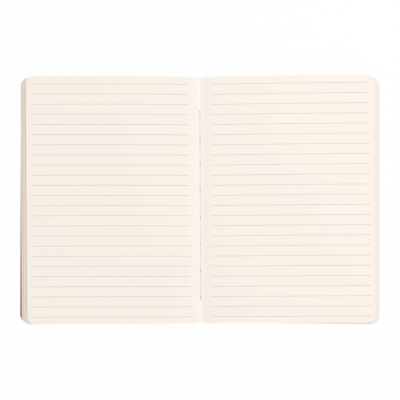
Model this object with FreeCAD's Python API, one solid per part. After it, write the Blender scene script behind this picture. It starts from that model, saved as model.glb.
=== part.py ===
import FreeCAD, Part
import math
import os

from FreeCAD import Vector

# Sizes in millimetres, angles in degrees. X runs across the spread, Y towards the top of the page,
# Z up. The origin is on the underside, at the middle of the spine.

# Paper
page_width = 147.6  # from the open fold to the fore edge of the top leaves
page_height = 210.0
corner_radius = 7.0  # of the two outer corners of every leaf and of the cover
leaf_thickness = 0.09
leaves_a_side = 40
leaves_a_step = 4  # leaves that share one step of the fanned fore edge
card_thickness = 0.45

# Open fold
fold_shift = 1.0  # it lies this far to the right of the spine's middle
fold_turn = 0.23  # seen from above
fold_thickness = 0.5  # paper under it
groove_half_width = 1.2  # of the flat-sided groove at its bottom

# The leaves lie a little askew. On the left the lowest ones are the furthest from square, and on
# the right the top ones
left_slip = 0.8  # further out
left_lean = 0.45  # top corner further out, and bottom corner further in
left_drop = 1.5  # both corners towards the bottom of the page
right_lean = 0.4  # bottom corner further out, and top corner further in
right_lift = 1.5  # both corners towards the top of the page

# Rise of a page, steep where it leaves the fold and slow over the rest of its width
steep_rise = 3.3
steep_length = 5.5
slow_rise = 2.6
slow_length = 55.0

# Sewing
thread_radius = 0.25
slot_count = 8
head_margin = 30.0  # from the top edge of the paper to the first needle slot
tail_margin = 23.0  # from the last one to the bottom edge
slot_length = 3.0
slot_width = 0.8
dive_spacing = 2.0  # between the thread's way down and its way up in one slot

# The leaves of one half bend a quarter turn out of the spine, so the lowest reach further out
half_thickness = leaves_a_side * leaf_thickness
low_reach = page_width + half_thickness * math.pi / 2
cover_reach = low_reach + fold_shift  # flush with the lowest leaves on the right
steps = leaves_a_side // leaves_a_step
fold_height = card_thickness + fold_thickness
slot_pitch = (page_height - head_margin - tail_margin) / (slot_count - 1)
up = Vector(0, 0, 1)


def page_level(distance):
    """Height of a page at a distance from the fold: it climbs steeply, then slowly levels out."""
    steep = steep_rise * (1 - math.exp(-distance / steep_length))
    slow = slow_rise * (1 - math.exp(-distance / slow_length))
    return fold_height + steep + slow


def at_fold(shape):
    """Moves a shape made about the Y axis to the open fold."""
    shape.rotate(Vector(), up, fold_turn)
    shape.translate(Vector(fold_shift, 0, 0))
    return shape


def round_corners(slab, is_outer):
    """Rounds the upright edges of a slab for which is_outer(x) holds."""
    upright = [
        edge
        for edge in slab.Edges
        if edge.BoundBox.ZLength > 0.9 * slab.BoundBox.ZLength
        and is_outer(edge.CenterOfMass.x)
    ]
    return slab.makeFillet(corner_radius, upright)


def leaf_corner(side, end, reach, lean, lift):
    """Outer corner of a leaf before rounding, measured from the middle of the fold."""
    return Vector(side * (reach + end * lean), end * page_height / 2 + lift, 0)


def leaf_step(number):
    """One step of leaves across both halves, from the lowest, number 0, to the top one."""
    high = number / (steps - 1)
    low = 1 - high
    reach = low * low_reach + high * page_width
    left = (reach + low * left_slip, low * left_lean, -low * left_drop)
    right = (reach, -high * right_lean, high * right_lift)
    outline = [
        Vector(0, -page_height / 2, 0),
        leaf_corner(1, -1, *right),
        leaf_corner(1, 1, *right),
        Vector(0, page_height / 2, 0),
        leaf_corner(-1, 1, *left),
        leaf_corner(-1, -1, *left),
    ]
    step_height = (page_level(page_width) - card_thickness) / steps
    # The top step stands proud, and the profile of the spread trims it
    thickness = 2 * step_height if number == steps - 1 else step_height
    slab = Part.Face(Part.makePolygon(outline + outline[:1])).extrude(up * thickness)
    slab = round_corners(slab, lambda x: abs(x) > page_width / 2)
    slab.translate(Vector(fold_shift, 0, card_thickness + number * step_height))
    return slab


def spread_profile():
    """Solid under the two humped pages, longer and wider than the leaves."""
    start, end = groove_half_width, cover_reach + corner_radius
    count, crowding = 12, 2.5  # points along a page, closer together near the fold
    distances = [start + (end - start) * (i / count) ** crowding for i in range(count + 1)]
    right = [Vector(x, 0, page_level(x)) for x in distances]
    left = [Vector(-point.x, 0, point.z) for point in right]
    edges = []
    for points in (left, right):
        curve = Part.BSplineCurve()
        curve.interpolate(points)
        edges.append(curve.toShape())
    groove = [left[0], Vector(0, 0, page_level(0)), right[0]]
    below = [left[-1], Vector(-end, 0, 0), Vector(end, 0, 0), right[-1]]
    for corners in (groove, below):
        edges += [Part.makeLine(a, b) for a, b in zip(corners, corners[1:])]
    face = Part.Face(Part.Wire(Part.__sortEdges__(edges)))
    face.translate(Vector(0, -page_height, 0))
    return at_fold(face.extrude(Vector(0, 2 * page_height, 0)))


def slot_places():
    """Middles of the needle slots along the fold."""
    first = page_height / 2 - head_margin
    return [first - i * slot_pitch for i in range(slot_count)]


def needle_slots():
    """The slots, right through the paper under the fold."""
    size = (slot_width, slot_length, fold_height)
    slots = [
        Part.makeBox(*size, Vector(-slot_width / 2, y - slot_length / 2, card_thickness))
        for y in slot_places()
    ]
    return at_fold(Part.makeCompound(slots))


def thread():
    """Thread along the fold, square at its bends, diving behind the paper at each slot."""
    over = fold_height + thread_radius / 2
    under = card_thickness + thread_radius
    path = []
    for y in slot_places():
        down, out = y + dive_spacing / 2, y - dive_spacing / 2
        path += [Vector(0, down, over), Vector(0, down, under)]
        path += [Vector(0, out, under), Vector(0, out, over)]
    path = path[1:-1]
    ring = Part.Wire(Part.makeCircle(thread_radius, path[0], Vector(0, 1, 0)))
    square_corners = 1
    tube = Part.makePolygon(path).makePipeShell([ring], True, False, square_corners)
    return at_fold(tube)


def pages(sewing):
    """All the leaves as one solid, with the needle slots and the thread's bed cut in."""
    steps_up = [leaf_step(number) for number in range(steps)]
    block = steps_up[0].multiFuse(steps_up[1:]).common(spread_profile())
    return block.cut(needle_slots()).cut(sewing).removeSplitter()


def cover_panel(side):
    """One half of the cover, flat, from the fold beside the spine to its rounded fore edge."""
    size = (cover_reach - half_thickness, page_height, card_thickness)
    slab = Part.makeBox(*size, Vector(half_thickness, -page_height / 2, 0))
    slab = round_corners(slab, lambda x: x > cover_reach / 2)
    return slab if side > 0 else slab.mirror(Vector(), Vector(1, 0, 0))


def spine_strip():
    """The strip of card between the two folds of the cover."""
    corner = Vector(-half_thickness, -page_height / 2, 0)
    return Part.makeBox(2 * half_thickness, page_height, card_thickness, corner)


sewing_thread = thread()
nodes = {
    "pages": pages(sewing_thread),
    "sewing_thread": sewing_thread,
    "spine": spine_strip(),
    "front_cover": cover_panel(-1),
    "back_cover": cover_panel(1),
}

os.makedirs("parts", exist_ok=True)
for name, shape in nodes.items():
    shape.exportStep("parts/" + name + ".step")
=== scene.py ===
"""An open notebook: thread-sewn sections of ruled paper in a plain card cover, lying on its back.

Metres throughout. X runs across the spread, Y towards the top of the page and Z up. The origin is
on the underside, at the middle of the spine.
"""

import logging
import math
from dataclasses import dataclass
from enum import IntEnum
from typing import Any, Mapping

import bpy
import numpy as np
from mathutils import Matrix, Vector


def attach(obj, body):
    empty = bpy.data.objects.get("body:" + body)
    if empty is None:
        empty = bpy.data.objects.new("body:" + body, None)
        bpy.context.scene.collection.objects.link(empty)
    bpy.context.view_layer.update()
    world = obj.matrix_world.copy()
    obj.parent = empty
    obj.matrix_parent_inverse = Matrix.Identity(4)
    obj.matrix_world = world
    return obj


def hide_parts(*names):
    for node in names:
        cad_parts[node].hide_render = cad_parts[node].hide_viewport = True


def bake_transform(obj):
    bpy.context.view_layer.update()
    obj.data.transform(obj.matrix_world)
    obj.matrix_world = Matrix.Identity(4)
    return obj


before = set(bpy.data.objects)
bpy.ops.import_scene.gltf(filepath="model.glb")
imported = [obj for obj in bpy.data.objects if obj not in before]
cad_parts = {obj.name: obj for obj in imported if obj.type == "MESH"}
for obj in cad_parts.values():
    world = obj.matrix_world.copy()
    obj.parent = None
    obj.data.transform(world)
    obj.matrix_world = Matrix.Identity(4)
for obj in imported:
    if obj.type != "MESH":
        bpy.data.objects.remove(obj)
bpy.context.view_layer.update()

log = logging.getLogger("notebook")

MM = 0.001  # a millimetre in metres

Array = np.ndarray
Piece = bpy.types.Object
Material = bpy.types.Material
Triple = tuple[float, float, float]
Colour = Triple
Solid = tuple[Array, Array, Array]


def linear(red: int, green: int, blue: int) -> Colour:
    """Scene-linear colour of an 8-bit screen colour, by the usual screen curve.

    Args:
        red: Red, 0 to 255.
        green: Green, 0 to 255.
        blue: Blue, 0 to 255.

    Returns:
        The three linear values, 0 to 1.
    """
    screen = np.array([red, green, blue]) / 255
    curved = np.where(screen <= 0.04045, screen / 12.92, ((screen + 0.055) / 1.055) ** 2.4)
    return tuple(float(value) for value in curved)


class Side(IntEnum):
    """A half of the open notebook, seen from above, valued by the sign of its X."""

    LEFT = -1
    RIGHT = 1


def closed_slab(top: Array, bottom: Array, keep: Array | None = None) -> Solid:
    """A thin solid between two grids of points, walled round its rim and round its holes.

    A cell of the grid that isn't kept has neither face. A wall stands on each side of a kept cell
    whose neighbour there is missing.

    Args:
        top: Points of the upper face, rows by columns by 3, with columns that run along X and rows
            that run along Y.
        bottom: Points of the lower face, in the same order.
        keep: Which cells hold paper, one row and one column fewer than the points. All by default.

    Returns:
        The vertices, the quads as rows of four indices that turn outwards, and each vertex's place
        among the points of both faces.
    """
    rows, columns = top.shape[:2]
    if keep is None:
        keep = np.ones((rows - 1, columns - 1), bool)
    below = rows * columns
    upper = np.arange(below).reshape(rows, columns)
    near_left, near_right = upper[:-1, :-1], upper[:-1, 1:]
    far_left, far_right = upper[1:, :-1], upper[1:, 1:]
    roof = np.stack([near_left, near_right, far_right, far_left], -1)[keep]
    floor = roof[:, ::-1] + below
    framed = np.pad(keep, 1)
    walls = []
    for neighbour, start, end in (
        (framed[:-2, 1:-1], near_right, near_left),
        (framed[2:, 1:-1], far_left, far_right),
        (framed[1:-1, :-2], near_left, far_left),
        (framed[1:-1, 2:], far_right, near_right),
    ):
        gap = keep & ~neighbour
        first, last = start[gap], end[gap]
        walls.append(np.stack([first, last, last + below, first + below], -1))
    faces = np.concatenate([roof, floor, *walls])
    used, faces = np.unique(faces, return_inverse=True)
    points = np.concatenate([top.reshape(-1, 3), bottom.reshape(-1, 3)])[used]
    return points, faces.reshape(-1, 4), used


def joined(solids: list[Solid]) -> Solid:
    """Several solids as one.

    Args:
        solids: Each one's vertices, quads and vectors kept on the vertices.

    Returns:
        The same three for all, with the quads numbered through all the vertices.
    """
    points, faces, vectors = zip(*solids)
    shifts = np.cumsum([0, *map(len, points[:-1])])
    faces = [quads + shift for quads, shift in zip(faces, shifts)]
    return np.concatenate(points), np.concatenate(faces), np.concatenate(vectors)


def mesh_object(
    name: str, points: Array, faces: Array, sharp_angle: float, places: Mapping[str, Array]
) -> Piece:
    """A piece made of quads, smooth but for edges that turn more than an angle.

    Args:
        name: The piece's name.
        points: Vertices, by 3.
        faces: Quads, as rows of four indices.
        sharp_angle: Angle in radians past which an edge is sharp.
        places: Vectors kept on the vertices for the materials, by name.

    Returns:
        The object, at the origin.
    """
    mesh = bpy.data.meshes.new(name)
    mesh.from_pydata(points.tolist(), [], faces.tolist())
    mesh.polygons.foreach_set("use_smooth", np.ones(len(faces), bool))
    mesh.set_sharp_from_angle(angle=sharp_angle)
    for label, vectors in places.items():
        attribute = mesh.attributes.new(label, "FLOAT_VECTOR", "POINT")
        attribute.data.foreach_set("vector", vectors.astype(np.float32).ravel())
    mesh.update()
    piece = bpy.data.objects.new(name, mesh)
    bpy.context.scene.collection.objects.link(piece)
    log.info("%s: %d faces", name, len(faces))
    return piece


class Varying:
    """A number or vector that varies over a surface. Arithmetic on it adds Math nodes."""

    def __init__(self, bench: "Bench", socket: bpy.types.NodeSocket) -> None:
        """Keeps the socket and the bench that its nodes are made on."""
        self.bench = bench
        self.socket = socket

    def _join(self, operation: str, first: "Value", second: "Value") -> "Varying":
        """One Math node on two values."""
        return self.bench.node("ShaderNodeMath", {"operation": operation}, {0: first, 1: second})

    def __add__(self, other: "Value") -> "Varying":
        """The sum."""
        return self._join("ADD", self, other)

    __radd__ = __add__

    def __sub__(self, other: "Value") -> "Varying":
        """This less the other."""
        return self._join("SUBTRACT", self, other)

    def __rsub__(self, other: "Value") -> "Varying":
        """The other less this."""
        return self._join("SUBTRACT", other, self)

    def __mul__(self, other: "Value") -> "Varying":
        """The product."""
        return self._join("MULTIPLY", self, other)

    def __truediv__(self, other: "Value") -> "Varying":
        """This over the other."""
        return self._join("DIVIDE", self, other)

    def __abs__(self) -> "Varying":
        """The size without the sign."""
        return self._join("ABSOLUTE", self, 0.0)


Value = Varying | float
Paint = Varying | Colour


class Bench:
    """Where the nodes of one material, or of the world, are made and joined."""

    def __init__(self, name: str, kept_in: str = "materials") -> None:
        """Starts something with nodes, and with none of them yet.

        Args:
            name: Its name.
            kept_in: Blender's list of such things.
        """
        self.owner = getattr(bpy.data, kept_in).new(name)
        self.owner.use_nodes = True
        self.tree = self.owner.node_tree
        self.tree.nodes.clear()

    def node(
        self,
        kind: str,
        settings: Mapping[str, Any],
        inputs: Mapping[int | str, Any],
        output: int | str | None = 0,
    ) -> Varying:
        """One node, with its settings made before its sockets are filled.

        Args:
            kind: Blender's name of the node's type.
            settings: Properties of the node, such as a Math node's operation.
            inputs: A Varying to link or a plain value to set, by the socket's name or number.
            output: The name or number of the socket to return, or None where the node has none.

        Returns:
            The node's output.
        """
        made = self.tree.nodes.new(kind)
        for name, setting in settings.items():
            setattr(made, name, setting)
        for name, value in inputs.items():
            if isinstance(value, Varying):
                self.tree.links.new(value.socket, made.inputs[name])
            else:
                made.inputs[name].default_value = value
        return Varying(self, None if output is None else made.outputs[output])

    def place(self) -> Varying:
        """Where a point is on the piece, in metres."""
        return self.node("ShaderNodeTexCoord", {}, {}, "Object")

    def kept(self, name: str) -> Varying:
        """A vector that the mesh keeps on its vertices."""
        return self.node("ShaderNodeAttribute", {"attribute_name": name}, {}, "Vector")

    def axis(self, vector: Varying, letter: str) -> Varying:
        """One of a vector's numbers, by its letter."""
        return self.node("ShaderNodeSeparateXYZ", {}, {0: vector}, letter)

    def stretched(self, vector: Varying, by: Triple) -> Varying:
        """A vector multiplied axis by axis."""
        return self.node("ShaderNodeVectorMath", {"operation": "MULTIPLY"}, {0: vector, 1: by})

    def noise(self, vector: Varying, scale: float, detail: float = 2.0) -> Varying:
        """Cloudy noise about 0, from about -1 to 1.

        Args:
            vector: Where to read it.
            scale: Clouds to the metre.
            detail: How many finer layers it has.

        Returns:
            The noise.
        """
        inputs = {"Vector": vector, "Scale": scale, "Detail": detail, "Roughness": 0.55}
        return (self.node("ShaderNodeTexNoise", {}, inputs) - 0.5) * 2.0

    def step(self, value: Varying, low: float, high: float) -> Varying:
        """A smooth climb from 0 at one value to 1 at another.

        Args:
            value: What is measured.
            low: Where the result is 0.
            high: Where it is 1. It may be the smaller of the two.

        Returns:
            The climb.
        """
        falling = high < low
        ends = {1: high, 2: low, 3: 1.0, 4: 0.0} if falling else {1: low, 2: high, 3: 0.0, 4: 1.0}
        settings = {"interpolation_type": "SMOOTHSTEP"}
        return self.node("ShaderNodeMapRange", settings, {0: value, **ends})

    def mix(self, share: Value, first: Paint, second: Paint) -> Varying:
        """A colour between two others.

        Args:
            share: 0 for the first, 1 for the second.
            first: A colour.
            second: Another.

        Returns:
            The mixed colour.
        """
        colours = [c if isinstance(c, Varying) else (*c, 1.0) for c in (first, second)]
        settings = {"data_type": "RGBA", "clamp_factor": True}
        return self.node("ShaderNodeMix", settings, {0: share, 6: colours[0], 7: colours[1]}, 2)

    def bump(self, height: Varying, distance: float, strength: float) -> Varying:
        """A normal tilted by a height from 0 to 1, which stands for so many metres."""
        inputs = {"Strength": strength, "Distance": distance, "Height": height}
        return self.node("ShaderNodeBump", {}, inputs, "Normal")

    def finish(self, colour: Varying, roughness: Value, normal: Varying, shine: float) -> Material:
        """Closes the material with one Principled surface.

        Args:
            colour: Base colour.
            roughness: Roughness.
            normal: Normal, with its bumps.
            shine: How much it mirrors.

        Returns:
            The material.
        """
        inputs = {"Base Color": colour, "Roughness": roughness, "Normal": normal}
        inputs["Specular IOR Level"] = shine
        return self.close(self.node("ShaderNodeBsdfPrincipled", {}, inputs))

    def close(self, surface: Varying) -> Material:
        """Joins a surface to the material's output and gives the material."""
        self.node("ShaderNodeOutputMaterial", {}, {"Surface": surface}, None)
        return self.owner


@dataclass(frozen=True)
class LineEnds:
    """Where a page's lines start and end, from the fold, and how far each end leans."""

    start: float
    start_slope: float
    end: float
    end_slope: float


@dataclass(frozen=True)
class Print:
    """The ruling of a page, measured from the fold and from the page's middle."""

    first_line: float = 98.5 * MM
    last_line: float = -99.5 * MM
    lines: int = 24
    half_width: float = 0.16 * MM
    softness: float = 0.08 * MM
    left: LineEnds = LineEnds(9.0 * MM, 0.006, 142.8 * MM, -0.004)
    right: LineEnds = LineEnds(9.95 * MM, -0.0025, 144.4 * MM, -0.0115)
    fade: float = 1.6 * MM
    block_edge: float = 0.9

    @property
    def pitch(self) -> float:
        """From one line to the next."""
        return (self.first_line - self.last_line) / (self.lines - 1)

    def ink(self, bench: Bench, distance: Varying, height: Varying) -> Varying:
        """How much ink lies at a point, 0 to 1.

        The nearest line is half a pitch away at most: the height over the pitch, less its nearest
        whole number. The ends of the lines lean a little against the fold.

        Args:
            bench: The material's bench.
            distance: Signed distance from the fold, positive on the right.
            height: Height up the page.

        Returns:
            The ink.
        """
        turns = (self.first_line - height) / self.pitch
        nearest = bench.node("ShaderNodeMath", {"operation": "ROUND"}, {0: turns})
        away = abs(turns - nearest) * self.pitch
        line = bench.step(away, self.half_width + self.softness, self.half_width - self.softness)
        half_pitch = self.pitch / 2
        inner = half_pitch * self.block_edge
        above = bench.step(height, self.first_line + half_pitch, self.first_line + inner)
        below = bench.step(height, self.last_line - half_pitch, self.last_line - inner)
        left = self._between(bench, distance * -1.0, height, self.left)
        right = self._between(bench, distance, height, self.right)
        return line * above * below * (left + right)

    def _between(
        self, bench: Bench, distance: Varying, height: Varying, ends: LineEnds
    ) -> Varying:
        """Whether a point is between the two ends of a page's lines.

        Args:
            bench: The material's bench.
            distance: Distance from the fold on this side.
            height: Height up the page.
            ends: The page's line ends.

        Returns:
            1 between the ends and 0 outside, fading near the fold.
        """
        past_start = distance - height * ends.start_slope
        past_end = distance - height * ends.end_slope
        half_fade = self.fade / 2
        begun = bench.step(past_start, ends.start - half_fade, ends.start + half_fade)
        ended = bench.step(past_end, ends.end + self.softness, ends.end - self.softness)
        return begun * ended


@dataclass(frozen=True)
class RuledPaper:
    """Uncoated cream paper with thin grey lines, a faint cloud in the sheet and a dry tooth, and
    painted light and shade: paler along the fold, paler on the right fan's edges, darker on the
    left fan's edges and at its section edges.

    The mesh keeps each point's place on its page as the vector "page": signed distance from the
    fold, height up the page, and the leaf's number as so many millimetres.
    """

    tone: Colour = linear(250, 241, 233)
    cloud_tone: Colour = linear(246, 236, 226)
    # Painted shade: a darker tone for the left fan's exposed leaf edges, on the side away from the
    # lamp.
    left_fan_shade_tone: Colour = linear(240, 230, 217)
    shade_tone: Colour = linear(210, 198, 182)
    # Painted light: a paler tone along the fold, against the shade in the valley between the open
    # pages.
    fold_light_tone: Colour = linear(255, 249, 243)
    # Painted light: a paler, cooler tone for the right fan's exposed leaf edges, on the side the
    # lamp lights.
    right_fan_light_tone: Colour = linear(244, 238, 234)
    ink_tone: Colour = linear(190, 182, 176)
    ruling: Print = Print()
    fan_start: float = 148.4 * MM
    fan_ramp: float = 0.6 * MM
    shade_start: float = 147.4 * MM
    shade_end: float = 147.8 * MM
    fold_reach: float = 6.0 * MM
    fold_overlap: float = 1.2 * MM
    section_tops: tuple[int, int] = (15, 31)
    leaf_scale: float = 370.0
    cloud_scale: float = 140.0
    fibre_scale: float = 2600.0
    ink_scale: float = 900.0
    tooth_depth: float = 0.012 * MM
    # Strengths of the painted light along the fold and on the right fan, and of the painted shade
    # on the left fan.
    fold_light_share: float = 0.95
    right_fan_light_share: float = 0.7
    left_fan_shade_share: float = 0.75
    low_shade: float = 0.55
    high_shade: float = 0.65

    def material(self) -> Material:
        """The paper's material."""
        bench = Bench("ruled_paper")
        page = bench.kept("page")
        place = bench.place()
        distance, height = bench.axis(page, "X"), bench.axis(page, "Y")
        number = bench.axis(page, "Z") / MM
        leaf = bench.stretched(page, (0.0, 0.0, self.leaf_scale))
        cloud = bench.noise(place, self.cloud_scale, 3.0)
        fibre = bench.noise(bench.stretched(place, (1.0, 0.35, 1.0)), self.fibre_scale, 2.0)
        between_leaves = bench.noise(leaf, 1.0, 0.0)
        on_left = bench.step(distance, 0.0, -1.0 * MM)
        away = abs(distance)
        exposed = bench.step(away, self.fan_start, self.fan_start + self.fan_ramp)
        low, high = (bench.step(abs(number - top), 0.6, 0.4) for top in self.section_tops)
        section_edge = bench.step(away, self.shade_start, self.shade_end)
        # Painted light: paler paper along the fold, mostly on its right, against the shade in the
        # valley between the open pages.
        right_of_fold = bench.step(distance, self.fold_reach, 0.0)
        near_fold = right_of_fold * bench.step(distance, -self.fold_overlap, 0.0)
        clouding = 0.35 + cloud * 0.30 + between_leaves * 0.25
        clouded = bench.mix(clouding, self.tone, self.cloud_tone)
        fold_lit = bench.mix(near_fold * self.fold_light_share, clouded, self.fold_light_tone)
        # Painted light: the right fan's exposed leaf edges turn paler and cooler, on the lamp's
        # side.
        right_fan_lit = bench.mix(exposed * (1.0 - on_left) * self.right_fan_light_share, fold_lit, self.right_fan_light_tone)
        # Painted shade: the left fan's exposed leaf edges darken, away from the lamp, a little
        # cloudy.
        left_fan_shading = exposed * on_left * (self.left_fan_shade_share + cloud * 0.15)
        left_fan_shaded = bench.mix(left_fan_shading, right_fan_lit, self.left_fan_shade_tone)
        shading = section_edge * on_left * (low * self.low_shade + high * self.high_shade)
        shaded = bench.mix(shading, left_fan_shaded, self.shade_tone)
        fleck = bench.step(fibre, 0.35, 0.9) * 0.25
        flecked = bench.mix(fleck, shaded, self.cloud_tone)
        wear = 0.86 + bench.noise(place, self.ink_scale) * 0.18
        strength = self.ruling.ink(bench, distance, height) * wear
        printed = bench.mix(strength, flecked, self.ink_tone)
        roughness = 0.86 + fibre * 0.05 + cloud * 0.03
        tooth = bench.bump(0.5 + fibre * 0.3 + cloud * 0.2, self.tooth_depth, 0.6)
        return bench.finish(printed, roughness, tooth, shine=0.25)


@dataclass(frozen=True)
class KraftCard:
    """Tan card with long fibres, darker flecks and paler, rubbed edges."""

    tone: Colour = linear(160, 100, 64)
    dark_tone: Colour = linear(132, 79, 48)
    pale_tone: Colour = linear(188, 137, 94)
    half_width: float = 154.25 * MM
    half_height: float = 105.0 * MM
    side_rub: float = 1.6 * MM
    end_rub: float = 1.4 * MM
    rub_sway: float = 0.8 * MM
    crease_place: float = 3.6 * MM
    crease_reach: float = 0.7 * MM
    crease_core: float = 0.1 * MM
    cloud_scale: float = 60.0
    fibre_scale: float = 3200.0
    fleck_scale: float = 1100.0
    grain_depth: float = 0.03 * MM

    def material(self) -> Material:
        """The card's material."""
        bench = Bench("kraft_card")
        place = bench.place()
        across, up = bench.axis(place, "X"), bench.axis(place, "Y")
        cloud = bench.noise(place, self.cloud_scale, 4.0)
        fibre = bench.noise(bench.stretched(place, (1.0, 0.12, 1.0)), self.fibre_scale, 2.0)
        specks = bench.noise(bench.stretched(place, (1.0, 0.5, 1.0)), self.fleck_scale, 1.0)
        fleck = bench.step(specks, 0.45, 0.7)
        sway = cloud * self.rub_sway
        side, end = self.half_width, self.half_height
        at_side = bench.step(abs(across) + sway, side - self.side_rub, side)
        at_end = bench.step(abs(up) + sway, end - self.end_rub, end)
        off_crease = abs(abs(across) - self.crease_place)
        crease = bench.step(off_crease, self.crease_reach, self.crease_core)
        rub = bench.node("ShaderNodeMath", {"operation": "MAXIMUM"}, {0: at_side, 1: at_end})
        mottled = bench.mix(0.5 + cloud * 0.4 + fibre * 0.25, self.tone, self.dark_tone)
        flecked = bench.mix(fleck * 0.45, mottled, self.dark_tone)
        rubbed = bench.mix(rub * (0.35 + fibre * 0.2), flecked, self.pale_tone)
        creased = bench.mix(crease * (0.4 + fibre * 0.3), rubbed, self.pale_tone)
        roughness = 0.78 + cloud * 0.05 + fibre * 0.06 - rub * 0.06
        grain = bench.bump(0.5 + fibre * 0.35 + cloud * 0.15, self.grain_depth, 0.7)
        return bench.finish(creased, roughness, grain, shine=0.3)


@dataclass(frozen=True)
class WaxedThread:
    """Undyed two-ply thread, a little soiled between its plies.

    The mesh keeps "ply": place along the thread and distance round the ply, in metres.
    """

    tone: Colour = linear(255, 250, 243)
    dark_tone: Colour = linear(247, 239, 229)
    hair_scale: float = 5200.0
    soil_scale: float = 260.0
    hair_depth: float = 0.02 * MM

    def material(self) -> Material:
        """The thread's material."""
        bench = Bench("waxed_thread")
        ply = bench.kept("ply")
        place = bench.place()
        hair = bench.noise(bench.stretched(ply, (1.0, 6.0, 6.0)), self.hair_scale, 2.0)
        soil = bench.noise(place, self.soil_scale, 3.0)
        colour = bench.mix(0.35 + soil * 0.35 + hair * 0.3, self.tone, self.dark_tone)
        roughness = 0.62 + hair * 0.12
        twist = bench.bump(0.5 + hair * 0.5, self.hair_depth, 0.8)
        return bench.finish(colour, roughness, twist, shine=0.35)


@dataclass(frozen=True)
class Spread:
    """Sizes that the leaves, the thread and the cover share."""

    page_width: float = 147.6 * MM
    page_height: float = 210.0 * MM
    corner_radius: float = 7.0 * MM
    leaf_thickness: float = 0.09 * MM
    pressed_thickness: float = 0.005 * MM
    card_thickness: float = 0.45 * MM
    cover_reach: float = 154.25 * MM
    spine_half_width: float = 3.6 * MM
    block_shift: float = 1.0 * MM
    fold_shift: float = 0.4 * MM
    fold_turn: float = math.radians(0.23)
    fold_height: float = 0.95 * MM
    steep_rise: float = 3.3 * MM
    steep_length: float = 5.5 * MM
    slow_rise: float = 2.6 * MM
    slow_length: float = 55.0 * MM
    first_slot: float = 75.2 * MM
    slot_pitch: float = 22.65 * MM
    slot_count: int = 8
    slot_length: float = 3.0 * MM
    slot_half_width: float = 0.27 * MM

    @property
    def half_height(self) -> float:
        """From the middle of a page to its top edge."""
        return self.page_height / 2

    @property
    def slots(self) -> Array:
        """Middles of the needle slots up the fold, from the top one down."""
        return self.first_slot - self.slot_pitch * np.arange(self.slot_count)

    def page_level(self, distance: Array) -> Array:
        """Height of an open page: a steep and a slow climb from the fold, each levelling out.

        Args:
            distance: Distance from the fold.

        Returns:
            The height.
        """
        climbs = (self.steep_rise, self.steep_length), (self.slow_rise, self.slow_length)
        rises = (rise * (1 - np.exp(-distance / length)) for rise, length in climbs)
        return sum(rises, self.fold_height)

    def fold_line(self, height: Array) -> Array:
        """X of the open fold at a height up the page: a straight, slightly turned line."""
        return self.fold_shift - math.tan(self.fold_turn) * height

    def corner_cut(self, height: Array) -> Array:
        """How far a corner pulls a row's end in: the radius less a quarter circle's height."""
        past = np.maximum(np.abs(height) - (self.half_height - self.corner_radius), 0)
        return self.corner_radius - np.sqrt(np.maximum(self.corner_radius**2 - past**2, 0))

    def row_heights(self, straight: int, rounded: int) -> Array:
        """Heights of the rows of a leaf, close together round its corners.

        Args:
            straight: Rows between the corners.
            rounded: Rows round each corner.

        Returns:
            Heights from the bottom edge to the top one.
        """
        flat = self.half_height - self.corner_radius
        angles = np.linspace(0, math.pi / 2, rounded + 1)[1:]
        corner = flat + self.corner_radius * np.sin(angles)
        return np.concatenate([-corner[::-1], np.linspace(-flat, flat, straight), corner])


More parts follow.
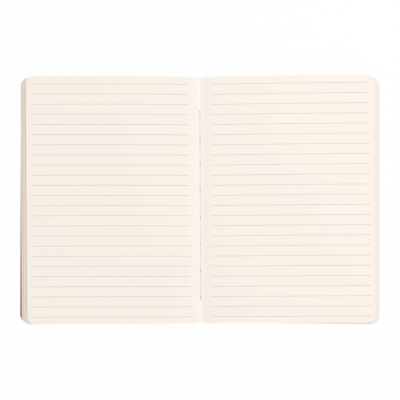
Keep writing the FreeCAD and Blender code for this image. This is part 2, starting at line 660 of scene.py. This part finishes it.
@dataclass(frozen=True)
class Bulk:
    """The leaves of one half, counted from the lowest, and how their heights share the stack's."""

    side: Side
    spread: Spread
    section_starts: tuple[float, float, float]
    low_lift: float
    top_lean: float
    crown: float
    seed: int
    section_leaves: tuple[int, int, int] = (16, 16, 8)
    section_ramp: float = 6.0 * MM
    section_gap: float = 2.2
    top_reach: float = 147.6 * MM
    fans: tuple[tuple[float, float], ...] = ((5.6, 4.0), (3.5, 1.4), (0.8, 0.0))
    low_lean: float = 0.0
    low_bow: float = 0.0
    top_lift: float = 0.0
    bottom_drop: float = 0.0
    jitter: float = 0.05 * MM
    ripple: float = 0.14
    ripple_turns: float = 9.0
    body_share: float = 0.85
    fore_edge_power: int = 4
    sag_least: float = 0.03 * MM
    sag_depth: float = 0.045 * MM
    long_wave: float = 19.0 * MM
    long_wander: float = 31.0 * MM
    cross_wave: float = 27.0 * MM
    cross_drift: float = 55.0 * MM

    @property
    def leaves(self) -> int:
        """How many leaves the half has."""
        return sum(self.section_leaves)

    def lay(self, numbers: Array, heights: Array) -> tuple[Array, Array]:
        """How wide each leaf is at each row, and how far its fore edge lifts up the page.

        A leaf reaches further out the lower it is, by even steps in a section and a wider one from
        section to section. Its fore edge leans and bows by an amount that fades up the stack. The
        lower leaves hang past the others at their foot only.

        Args:
            numbers: The leaves, as a column.
            heights: The rows' heights up the page, as a row.

        Returns:
            Widths from the fold before the corners are rounded and lifts, both leaves by rows.
        """
        spread = self.spread
        high = numbers / (self.leaves - 1)
        low = 1 - high
        fan = [np.linspace(*ends, count) for ends, count in zip(self.fans, self.section_leaves)]
        reach = self.top_reach + np.concatenate(fan)[numbers.astype(int)] * MM
        draws = np.random.default_rng(self.seed).normal(0, self.jitter, self.leaves)
        reach = reach - np.abs(draws[numbers.astype(int)]) * (numbers < self.leaves - 1)
        share = heights / spread.half_height
        lean = (low * self.low_lean + high * self.top_lean) * share
        bow = low * self.low_bow * (1 - share**2)
        from_fold = self.side * (spread.block_shift - spread.fold_line(heights))
        foot = (1 - share) / 2
        lift = low * self.low_lift * foot + high * self.top_lift - self.bottom_drop * foot
        return reach + lean + bow + from_fold, lift

    def share_below(self, count: Array, distance: Array, ripple: Array) -> Array:
        """Share of the stack's height that lies below so many leaves.

        A section starts at its own fold with no height and swells to its full height over a short
        ramp, and between two sections there is a gap worth a leaf or two of air.

        Args:
            count: Leaves below, which may hold a fraction.
            distance: Distance from the open fold.
            ripple: How far the leaf waves up or down, in leaves.

        Returns:
            The share, from 0 to 1.
        """
        swell = [
            np.clip((distance - start) / self.section_ramp, 0, 1) if start else 1.0
            for start in self.section_starts
        ]
        swell = [amount * amount * (3 - 2 * amount) for amount in swell]
        bases = np.concatenate([[0], np.cumsum(self.section_leaves)])
        below, total = 0.0, 0.0
        for base, leaves, amount in zip(bases, self.section_leaves, swell):
            below = below + np.clip(count + ripple - base, 0, leaves) * amount
            total = total + leaves * amount
        for base, amount in zip(bases[1:-1], swell):
            below = below + self.section_gap * (count > base) * amount
            total = total + self.section_gap * amount
        return below / total

    def leaf_points(
        self, numbers: Array, heights: Array, shares: Array
    ) -> tuple[Array, Array, Array]:
        """Upper and lower faces of some leaves, and where their points are on the page.

        Each row runs from the fold to the fore edge. A column keeps its distance from the fold near
        the fold, and follows the fore edge by a high power of its share of the width. A leaf
        thins where its section is pressed together at its fold, but never to nothing.

        Args:
            numbers: The leaves, from 0 for the lowest.
            heights: The rows' heights up the page.
            shares: The columns' shares of the page's width, from 0 at the fold to 1.

        Returns:
            Upper points and lower points, leaves by rows by columns by 3, and the vectors "page".
        """
        spread = self.spread
        leaf = numbers.astype(float)[:, None]
        widths, lifts = self.lay(leaf, heights)
        widths, lifts = widths[:, :, None], lifts[:, :, None]
        share = shares[None, None, :]
        height = heights[None, :, None]
        cut = spread.corner_cut(height)
        overhang = (widths - cut - spread.page_width) * share**self.fore_edge_power
        distance = share * spread.page_width + overhang
        x = spread.fold_line(height) + self.side * distance
        y = height + lifts * distance / widths + self.crown * 4 * share * (1 - share)
        waves = np.random.default_rng(self.seed + 1)
        phase = np.cumsum(waves.normal(0, 0.5, self.leaves))[numbers][:, None, None]
        inner = (numbers < self.leaves - 1)[:, None, None]
        turn = height / spread.page_height * self.ripple_turns + phase
        rippled = self.ripple * inner * np.sin(turn) * share
        count = leaf[:, :, None] + 1
        air = spread.page_level(distance) - spread.card_thickness - self.sag(x, y, share)
        upper = spread.card_thickness + air * self.share_below(count, distance, rippled)
        below = self.share_below(count - self.body_share, distance, rippled)
        under = spread.card_thickness + air * below
        lower = np.maximum(upper - spread.leaf_thickness, under)
        upper = np.maximum(upper, lower + spread.pressed_thickness)
        across = self.side * distance
        page = np.stack(np.broadcast_arrays(across, height, leaf[:, :, None] * MM), -1)
        return np.stack([x, y, upper], -1), np.stack([x, y, lower], -1), page

    def sag(self, x: Array, y: Array, share: Array) -> Array:
        """How far the paper's slow waves let it down: two crossing sine waves, nil at the fold.

        Args:
            x: Places across.
            y: Places up the page.
            share: Shares of the page's width.

        Returns:
            How far down.
        """
        along = np.sin(x / self.long_wave + 1.4 * np.sin(y / self.long_wander))
        across = np.sin(y / self.cross_wave + x / self.cross_drift)
        depth = self.sag_least + self.sag_depth * (2 + along + across)
        return depth * np.minimum(share * 4, 1)


@dataclass
class LeafBlock:
    """All the leaves: the open section's folded sheets, and the loose halves beside it.

    One of the columns near the fold lies at the needle slots' sides.
    """

    spread: Spread
    left: Bulk
    right: Bulk
    paper: Material
    near_fold: tuple[float, ...] = (
        0.0, 0.14, 0.27, 0.45, 0.8, 1.4, 2.2, 3.2, 4.6, 6.4, 8.8, 12.0, 17.0
    )
    beyond: int = 14
    loose_columns: int = 12
    column_power: float = 1.7
    corner_rows: int = 7
    loose_corner_rows: int = 6
    open_rows: int = 40
    section_rows: int = 8
    loose_rows: int = 12
    row_clearance: float = 1.0 * MM
    rounding: float = 1e-6
    sharp_angle: float = math.radians(40)

    def _dress(self, name: str, leaves: list[Solid]) -> Piece:
        """Makes one piece of leaves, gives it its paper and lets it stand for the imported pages.

        Args:
            name: The piece's name.
            leaves: Each leaf's vertices, quads and places on the page.

        Returns:
            The piece.
        """
        points, faces, page = joined(leaves)
        piece = mesh_object(name, points, faces, self.sharp_angle, {"page": page})
        piece.data.materials.append(self.paper)
        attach(piece, "book")
        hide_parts("pages")
        return piece

    @staticmethod
    def _leaf(upper: Array, lower: Array, page: Array, keep: Array | None = None) -> Solid:
        """One leaf as a closed solid, with its vertices' places on the page."""
        points, faces, used = closed_slab(upper, lower, keep)
        return points, faces, np.concatenate([page.reshape(-1, 3)] * 2)[used]

    def _fold_shares(self) -> Array:
        """Columns from the fold to the fore edge, close together near the fold."""
        near = np.array(self.near_fold) * MM / self.spread.page_width
        return np.concatenate([near, np.linspace(near[-1], 1, self.beyond + 1)[1:]])

    def folded_sheets(self, name: str, from_top: range, straight: int) -> Piece:
        """Sheets that run from one fore edge through the fold to the other, with the needle slots.

        Args:
            name: The piece's name.
            from_top: Which sheets, counted down from the open one, 0.
            straight: Rows between the corners, besides those at the slots' ends.

        Returns:
            The piece.
        """
        spread = self.spread
        half_slot = spread.slot_length / 2
        slot_ends = np.concatenate([spread.slots - half_slot, spread.slots + half_slot])
        plain = spread.row_heights(straight, self.corner_rows)
        clear = np.abs(plain[:, None] - slot_ends).min(1) > self.row_clearance
        heights = np.sort(np.concatenate([plain[clear], slot_ends]))
        shares = self._fold_shares()
        middles = (heights[1:] + heights[:-1]) / 2
        in_slot = (np.abs(middles[:, None] - spread.slots) < half_slot).any(1)
        middle = len(shares) - 1
        within = shares * spread.page_width < spread.slot_half_width - self.rounding
        slot_columns = int(within.sum())
        keep = np.ones((len(heights) - 1, 2 * middle), bool)
        keep[np.ix_(in_slot, range(middle - slot_columns, middle + slot_columns))] = False
        sheets = []
        for sheet in from_top:
            number = np.array([self.left.leaves - 1 - sheet])
            halves = [bulk.leaf_points(number, heights, shares) for bulk in (self.left, self.right)]
            grids = (
                np.concatenate([left[0][:, ::-1], right[0][:, 1:]], 1)
                for left, right in zip(*halves)
            )
            sheets.append(self._leaf(*grids, keep))
        return self._dress(name, sheets)

    def loose_leaves(self, name: str, bulk: Bulk, straight: int) -> Piece:
        """The leaves of the two sections beside the open one, from their own folds outwards.

        Args:
            name: The piece's name.
            bulk: Which half.
            straight: Rows between the corners.

        Returns:
            The piece.
        """
        heights = self.spread.row_heights(straight, self.loose_corner_rows)
        spacing = np.linspace(0, 1, self.loose_columns) ** self.column_power
        leaves, base = [], 0
        for count, start in zip(bulk.section_leaves[:2], bulk.section_starts[:2]):
            first = start / self.spread.page_width
            shares = first + (1 - first) * spacing
            grids = bulk.leaf_points(np.arange(base, base + count), heights, shares)
            if bulk.side is Side.LEFT:
                grids = [grid[:, :, ::-1] for grid in grids]
            leaves += [self._leaf(*leaf) for leaf in zip(*grids)]
            base += count
        return self._dress(name, leaves)

    def build(self) -> None:
        """Makes every leaf."""
        self.folded_sheets("open_sheet", range(0, 1), self.open_rows)
        self.folded_sheets("open_section", range(1, self.left.section_leaves[2]), self.section_rows)
        self.loose_leaves("left_leaves", self.left, self.loose_rows)
        self.loose_leaves("right_leaves", self.right, self.loose_rows)


@dataclass
class Sewing:
    """The thread along the fold: two twisted plies that dive behind the paper at each slot."""

    spread: Spread
    finish: Material
    ply_radius: float = 0.125 * MM
    ply_offset: float = 0.85
    twist_length: float = 1.5 * MM
    samples_a_twist: int = 9
    sides: int = 8
    dive_spacing: float = 2.0 * MM
    dive_length: float = 0.7 * MM
    over: float = 1.24 * MM
    under: float = 0.7 * MM
    sharp_angle: float = math.radians(60)

    def _level(self, height: Array) -> Array:
        """Height of the thread's middle: low between a slot's two bends, with smooth dives.

        Args:
            height: Places up the page.

        Returns:
            The heights above the underside.
        """
        away = np.abs(height[:, None] - self.spread.slots).min(1)
        climb = np.clip((away - self.dive_spacing / 2) / self.dive_length + 0.5, 0, 1)
        climb = climb * climb * (3 - 2 * climb)
        return self.under + (self.over - self.under) * climb

    def build(self) -> Piece:
        """Makes the two plies: octagons carried along two helices about the thread's middle line.

        Three quads close each end of a ply, which has eight sides for that.

        Returns:
            The piece.
        """
        spread = self.spread
        low_reach = (self.dive_spacing - self.dive_length) / 2
        start, end = spread.slots[0] + low_reach, spread.slots[-1] - low_reach
        count = int((start - end) / self.twist_length * self.samples_a_twist)
        height = np.linspace(start, end, count)
        middle = np.stack([spread.fold_line(height), height, self._level(height)], -1)
        ahead = np.gradient(middle, axis=0)
        ahead /= np.linalg.norm(ahead, axis=1)[:, None]
        across = np.cross(ahead, np.array([0.0, 0.0, 1.0]))
        across /= np.linalg.norm(across, axis=1)[:, None]
        rising = np.cross(across, ahead)
        along = np.concatenate([[0], np.cumsum(np.linalg.norm(np.diff(middle, axis=0), axis=1))])
        around = np.linspace(0, 2 * math.pi, self.sides, endpoint=False)
        cap = np.array([[0, 1, 2, 3], [0, 3, 4, 7], [4, 5, 6, 7]])
        index = np.arange(count * self.sides).reshape(-1, self.sides)
        here, there = index[:-1], index[1:]
        wall = np.stack([here, there, np.roll(there, -1, 1), np.roll(here, -1, 1)], -1)
        ends = index[0][cap], index[-1][cap[:, ::-1]]
        faces = np.concatenate([wall.reshape(-1, 4), *ends])
        place, spun = np.broadcast_arrays(along[:, None], around * self.ply_radius)
        kept = np.stack([place, spun, spun * 0], -1).reshape(-1, 3)
        cosine, sine = np.cos(around)[:, None], np.sin(around)[:, None]
        plies = []
        for ply in range(2):
            turn = along / self.twist_length * 2 * math.pi + ply * math.pi
            out = across * np.cos(turn)[:, None] + rising * np.sin(turn)[:, None]
            side = rising * np.cos(turn)[:, None] - across * np.sin(turn)[:, None]
            centre = middle + out * self.ply_radius * self.ply_offset
            ring = out[:, None] * cosine + side[:, None] * sine
            points = centre[:, None] + ring * self.ply_radius
            plies.append((points.reshape(-1, 3), faces, kept))
        points, faces, kept = joined(plies)
        piece = mesh_object("twisted_thread", points, faces, self.sharp_angle, {"ply": kept})
        piece.data.materials.append(self.finish)
        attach(piece, "book")
        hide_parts("sewing_thread")
        return piece


@dataclass
class Cover:
    """The card cover: a spine strip and two panels beside it, creased where they meet it."""

    spread: Spread
    card: Material
    rim: float = 0.13 * MM
    crease_depth: float = 0.05 * MM
    crease_half_width: float = 0.6 * MM
    bend_length: float = 1.2 * MM
    left_lean: float = 0.76 * MM
    rim_steps: tuple[float, ...] = (1.0, 0.6, 0.25, 0.06)
    rim_inner: float = 3.0
    rim_margin: float = 1.0 * MM
    bend_past: float = 1.5
    bend_columns: int = 13
    flat_columns: int = 26
    spine_columns: int = 19
    rows: int = 30
    corner_rows: int = 7
    edge_power: int = 4
    sharp_angle: float = math.radians(50)

    def _slab(self, x: Array, y: Array, inset: Array) -> tuple[Array, Array]:
        """A card's two faces, rounded at the rim by a quarter circle and pressed in at the creases.

        Args:
            x: Places across, rows by columns.
            y: Places up the page, the same.
            inset: Distance from the card's edge, the same.

        Returns:
            Upper and lower points.
        """
        past = np.clip(self.rim - inset, 0, self.rim)
        rounded = self.rim - np.sqrt(self.rim**2 - past**2)
        off_crease = np.abs(np.abs(x) - self.spread.spine_half_width) / self.crease_half_width
        crease = self.crease_depth * np.maximum(1 - off_crease**2, 0) ** 2
        top = np.stack([x, y, self.spread.card_thickness - rounded], -1)
        return top, np.stack([x, y, np.maximum(rounded, crease)], -1)

    def _rows(self) -> Array:
        """Heights of a card's rows, with extra ones where its rim turns over.

        Returns:
            Heights from the bottom edge to the top one.
        """
        half = self.spread.half_height
        rim_rows = half - self.rim * np.array(self.rim_steps)
        plain = self.spread.row_heights(self.rows, self.corner_rows)
        inner = plain[np.abs(plain) < half - 2 * self.rim]
        return np.sort(np.concatenate([inner, rim_rows, -rim_rows, [half, -half]]))

    def _dress(self, name: str, top: Array, bottom: Array, node: str) -> Piece:
        """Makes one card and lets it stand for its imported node.

        Args:
            name: The piece's name.
            top: Points of its upper face, rows by columns by 3.
            bottom: Points of its lower face, the same.
            node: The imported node.

        Returns:
            The piece.
        """
        points, faces, _ = closed_slab(top, bottom)
        piece = mesh_object(name, points, faces, self.sharp_angle, {})
        piece.data.materials.append(self.card)
        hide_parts(node)
        return piece

    def spine(self) -> Piece:
        """The strip between the folds.

        Returns:
            The piece.
        """
        spread = self.spread
        half = spread.spine_half_width
        heights = self._rows()
        x, y = np.meshgrid(np.linspace(-half, half, self.spine_columns), heights)
        top, bottom = self._slab(x, y, spread.half_height - np.abs(y))
        piece = self._dress("spine_card", top, bottom, "spine")
        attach(piece, "book")
        return piece

    def panel(self, side: Side, body: str) -> Piece:
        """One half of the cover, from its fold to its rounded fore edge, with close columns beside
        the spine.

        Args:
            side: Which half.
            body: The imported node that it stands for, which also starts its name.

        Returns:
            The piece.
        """
        spread = self.spread
        heights = self._rows()
        half = spread.half_height
        lean = self.left_lean if side is Side.LEFT else 0.0
        leaning = lean * (heights + half) / spread.page_height
        edge = spread.cover_reach - spread.corner_cut(heights) - leaning
        start = spread.spine_half_width
        bend = start + self.bend_length * np.linspace(0, self.bend_past, self.bend_columns)
        flat_end = spread.cover_reach - self.rim_margin
        flat = np.linspace(bend[-1], flat_end, self.flat_columns)[1:]
        columns = np.concatenate([bend, flat])
        share = (columns - start) / (spread.cover_reach - start)
        pull = (edge[:, None] - spread.cover_reach) * share**self.edge_power
        inner = columns + pull
        rim_steps = np.array([self.rim_inner, *self.rim_steps, 0.0])
        rim = edge[:, None] - self.rim * rim_steps
        reach = np.concatenate([inner, rim], 1)
        y = np.broadcast_to(heights[:, None], reach.shape)
        corner_x = spread.cover_reach - spread.corner_radius - leaning[:, None]
        corner_y = half - spread.corner_radius
        past_x, past_y = np.maximum(reach - corner_x, 0), np.maximum(np.abs(y) - corner_y, 0)
        to_corner = np.hypot(past_x, past_y)
        in_corner = (reach > corner_x) & (np.abs(y) > corner_y)
        straight = np.minimum(edge[:, None] - reach, half - np.abs(y))
        inset = np.where(in_corner, spread.corner_radius - to_corner, straight)
        top, bottom = self._slab(side * reach, y, np.maximum(inset, 0))
        if side is Side.LEFT:
            top, bottom = top[:, ::-1], bottom[:, ::-1]
        piece = self._dress(f"{body}_card", top, bottom, body)
        side * (start + self.bend_length)
        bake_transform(piece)
        return piece

    def build(self) -> None:
        """Makes the three parts of the cover."""
        self.spine()
        self.panel(Side.LEFT, "front_cover")
        self.panel(Side.RIGHT, "back_cover")


@dataclass(frozen=True)
class Studio:
    """A pale floor, a soft room and a camera straight above the page."""

    camera_height: float = 506.4 * MM
    view_width: float = 339.45 * MM
    page_level: float = 6.4 * MM
    centre: tuple[float, float] = (0.2 * MM, 0.1 * MM)
    room_strength: float = 0.885
    key_power: float = 2.5
    key_place: Triple = (0.75, 0.35, 0.85)
    key_size: float = 0.7
    floor_size: float = 3.0
    floor_drop: float = 0.02 * MM
    floor_clearness: float = 0.88

    def camera(self) -> None:
        """The camera, whose view is so wide at the page's level."""
        data = bpy.data.cameras.new("camera")
        data.sensor_width = 36.0
        data.lens = data.sensor_width * (self.camera_height - self.page_level) / self.view_width
        data.clip_start = 0.01
        camera = bpy.data.objects.new("camera", data)
        camera.location = (*self.centre, self.camera_height)
        bpy.context.scene.collection.objects.link(camera)
        bpy.context.scene.camera = camera

    def key(self) -> None:
        """A square soft lamp that faces the middle of the notebook."""
        data = bpy.data.lights.new("key", "AREA")
        data.size = self.key_size
        data.energy = self.key_power
        lamp = bpy.data.objects.new("key", data)
        lamp.location = self.key_place
        lamp.rotation_euler = (-Vector(self.key_place)).to_track_quat("-Z", "Y").to_euler()
        bpy.context.scene.collection.objects.link(lamp)

    def room(self) -> None:
        """An even pale room, white to the camera."""
        bench = Bench("room", "worlds")
        white = {"Color": (1.0, 1.0, 1.0, 1.0)}
        light = bench.node("ShaderNodeBackground", {}, {**white, "Strength": self.room_strength})
        plain = bench.node("ShaderNodeBackground", {}, white)
        seen = bench.node("ShaderNodeLightPath", {}, {}, "Is Camera Ray")
        both = bench.node("ShaderNodeMixShader", {}, {0: seen, 1: light, 2: plain})
        bench.node("ShaderNodeOutputWorld", {}, {"Surface": both}, None)
        bpy.context.scene.world = bench.owner

    def floor(self) -> None:
        """A floor that takes a faint shadow and otherwise shows the camera the white room.

        Whatever lies below the floor is seen through it.
        """
        edge = np.linspace(-self.floor_size / 2, self.floor_size / 2, 5)
        x, y = np.meshgrid(edge, edge)
        index = np.arange(x.size).reshape(x.shape)
        corners = (index[:-1, :-1], index[:-1, 1:], index[1:, 1:], index[1:, :-1])
        faces = np.stack([corner.ravel() for corner in corners], -1)
        points = np.stack([x, y, 0 * x - self.floor_drop], -1).reshape(-1, 3)
        piece = mesh_object("floor", points, faces, math.pi, {})
        bench = Bench("pale_floor")
        cloud = bench.noise(bench.place(), 30.0, 3.0)
        colour = bench.mix(0.5 + cloud * 0.5, (0.97, 0.97, 0.97), (0.95, 0.95, 0.95))
        surface = {"Base Color": colour, "Roughness": 0.9, "Specular IOR Level": 0.0}
        matte = bench.node("ShaderNodeBsdfPrincipled", {}, surface)
        clear = bench.node("ShaderNodeBsdfTransparent", {}, {"Color": (1.0, 1.0, 1.0, 1.0)})
        seen = bench.node("ShaderNodeLightPath", {}, {}, "Is Camera Ray")
        share = seen * self.floor_clearness
        both = bench.node("ShaderNodeMixShader", {}, {0: share, 1: matte, 2: clear})
        piece.data.materials.append(bench.close(both))

    def build(self) -> None:
        """Makes the studio."""
        self.camera()
        self.room()
        self.floor()
        self.key()
        bpy.context.scene.view_settings.view_transform = "Standard"


def main() -> None:
    """Builds the notebook and its studio."""
    logging.basicConfig(level=logging.INFO, format="%(name)s: %(message)s")
    spread = Spread()
    left = Bulk(
        Side.LEFT,
        spread,
        section_starts=(3.9 * MM, 2.4 * MM, 0.0),
        top_reach=148.05 * MM,
        fans=((6.2, 4.35), (3.65, 1.25), (0.3, 0.0)),
        low_lean=0.5 * MM,
        low_lift=-1.49 * MM,
        low_bow=0.1 * MM,
        top_lean=0.72 * MM,
        crown=0.24 * MM,
        seed=11,
    )
    right = Bulk(
        Side.RIGHT,
        spread,
        section_starts=(1.9 * MM, 0.6 * MM, 0.0),
        low_lift=-1.19 * MM,
        top_lean=-0.4 * MM,
        top_lift=1.49 * MM,
        bottom_drop=0.3 * MM,
        crown=0.17 * MM,
        seed=23,
    )
    Studio().build()
    LeafBlock(spread, left, right, RuledPaper().material()).build()
    Sewing(spread, WaxedThread().material()).build()
    Cover(spread, KraftCard().material()).build()


if __name__ == "__main__":
    main()
